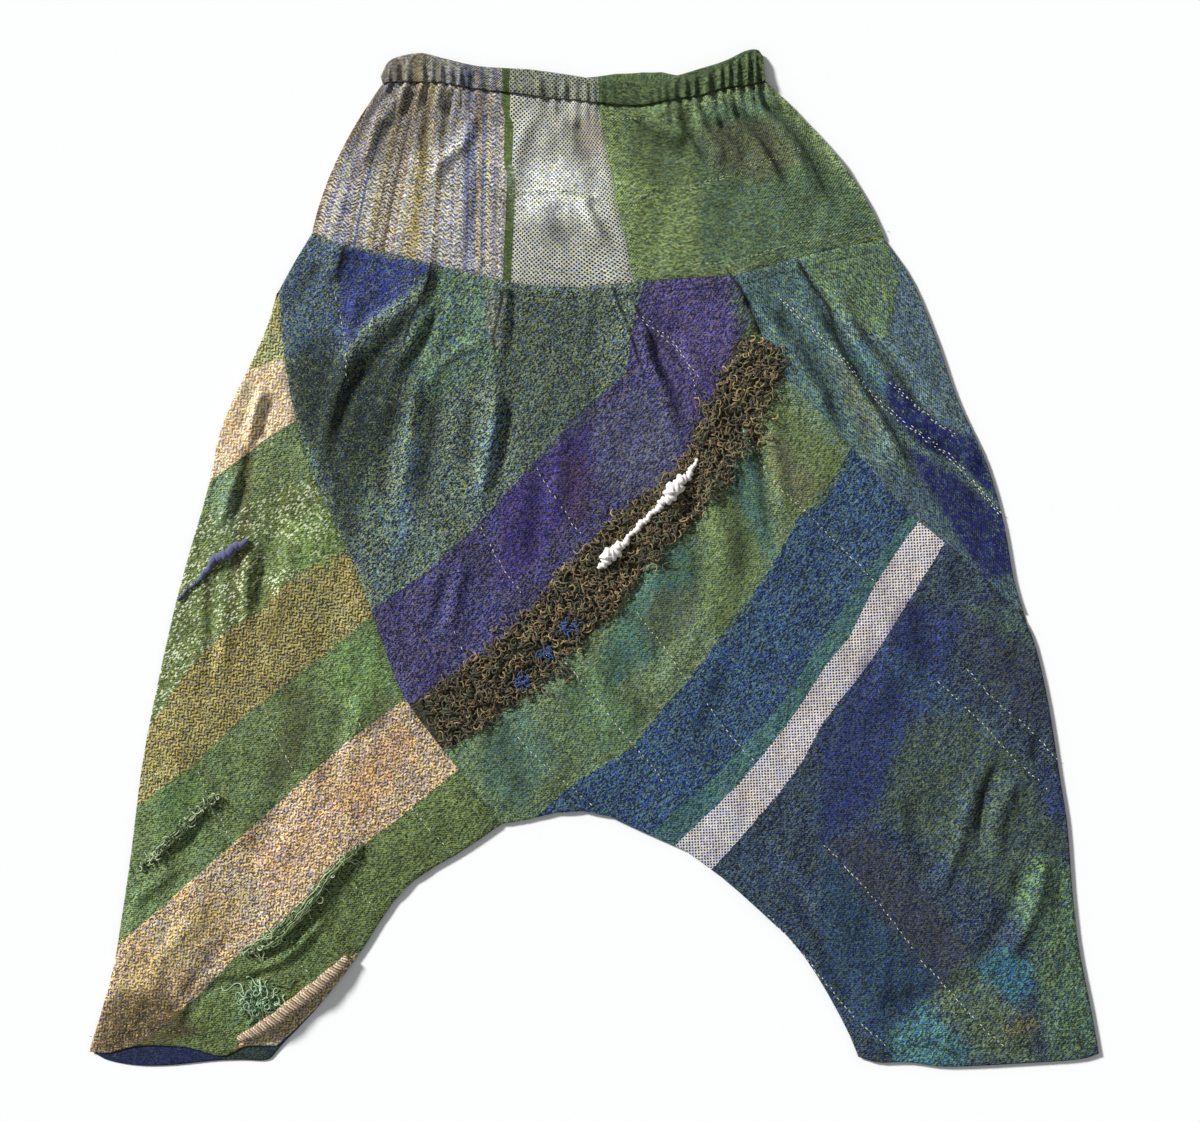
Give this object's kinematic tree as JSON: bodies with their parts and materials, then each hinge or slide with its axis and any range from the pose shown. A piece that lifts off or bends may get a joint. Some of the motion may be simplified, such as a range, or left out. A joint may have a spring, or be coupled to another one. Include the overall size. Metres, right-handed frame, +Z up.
{
  "type": "baggy trousers",
  "caption": "Baggy drop-crotch trousers of banded handwoven cloth with a gathered elastic waist, hip yoke, pleats and a loop fringe, laid flat.",
  "frame": {"origin": "centre of the bounding box, on the surface that the trousers lie on", "axes": "+Y from the hems to the waist, +X to the right looking down at the front, +Z up from the surface"},
  "size_m": [0.9276, 0.9341, 0.0191],
  "materials": {
    "waistband_front": "matte gathered handwoven cotton, striped grey and green",
    "waistband_back": "matte gathered handwoven cotton, dark green",
    "yoke_front_striped": "matte striped twill, grey, lilac, tan and blue",
    "yoke_front_green": "matte dark green twill",
    "yoke_back": "matte dark green twill",
    "leg_front_left": "matte handwoven cloth in green, tan and gold bands",
    "body_front": "soft napped handwoven cloth in green, navy, purple and teal bands",
    "hip_front_right": "soft napped handwoven cloth, blue-green",
    "back_left_leg": "soft napped handwoven cloth, navy",
    "back_right_leg": "soft napped handwoven cloth, blue-green",
    "loop_pile_strip": "matte curled yarn loops, olive brown",
    "white_slub_yarn": "matte thick slub yarn, off-white",
    "blue_slub_yarn": "matte thick slub yarn, blue",
    "green_float_upper": "matte loose yarn, sage green",
    "green_float_lower": "matte loose yarn, moss green",
    "green_thread_tangle": "matte tangled thread, green",
    "tan_rolled_edge": "matte rolled woven edge, tan"
  },
  "bodies": {
    "root": {"waistband_front": "waistband_front", "waistband_back": "waistband_back", "yoke_front_striped": "yoke_front_striped", "yoke_front_green": "yoke_front_green", "yoke_back": "yoke_back", "leg_front_left": "leg_front_left", "body_front": "body_front", "hip_front_right": "hip_front_right", "back_left_leg": "back_left_leg", "back_right_leg": "back_right_leg", "loop_pile_strip": "loop_pile_strip", "white_slub_yarn": "white_slub_yarn", "blue_slub_yarn": "blue_slub_yarn", "green_float_upper": "green_float_upper", "green_float_lower": "green_float_lower", "green_thread_tangle": "green_thread_tangle", "tan_rolled_edge": "tan_rolled_edge"}
  },
  "joints": []
}
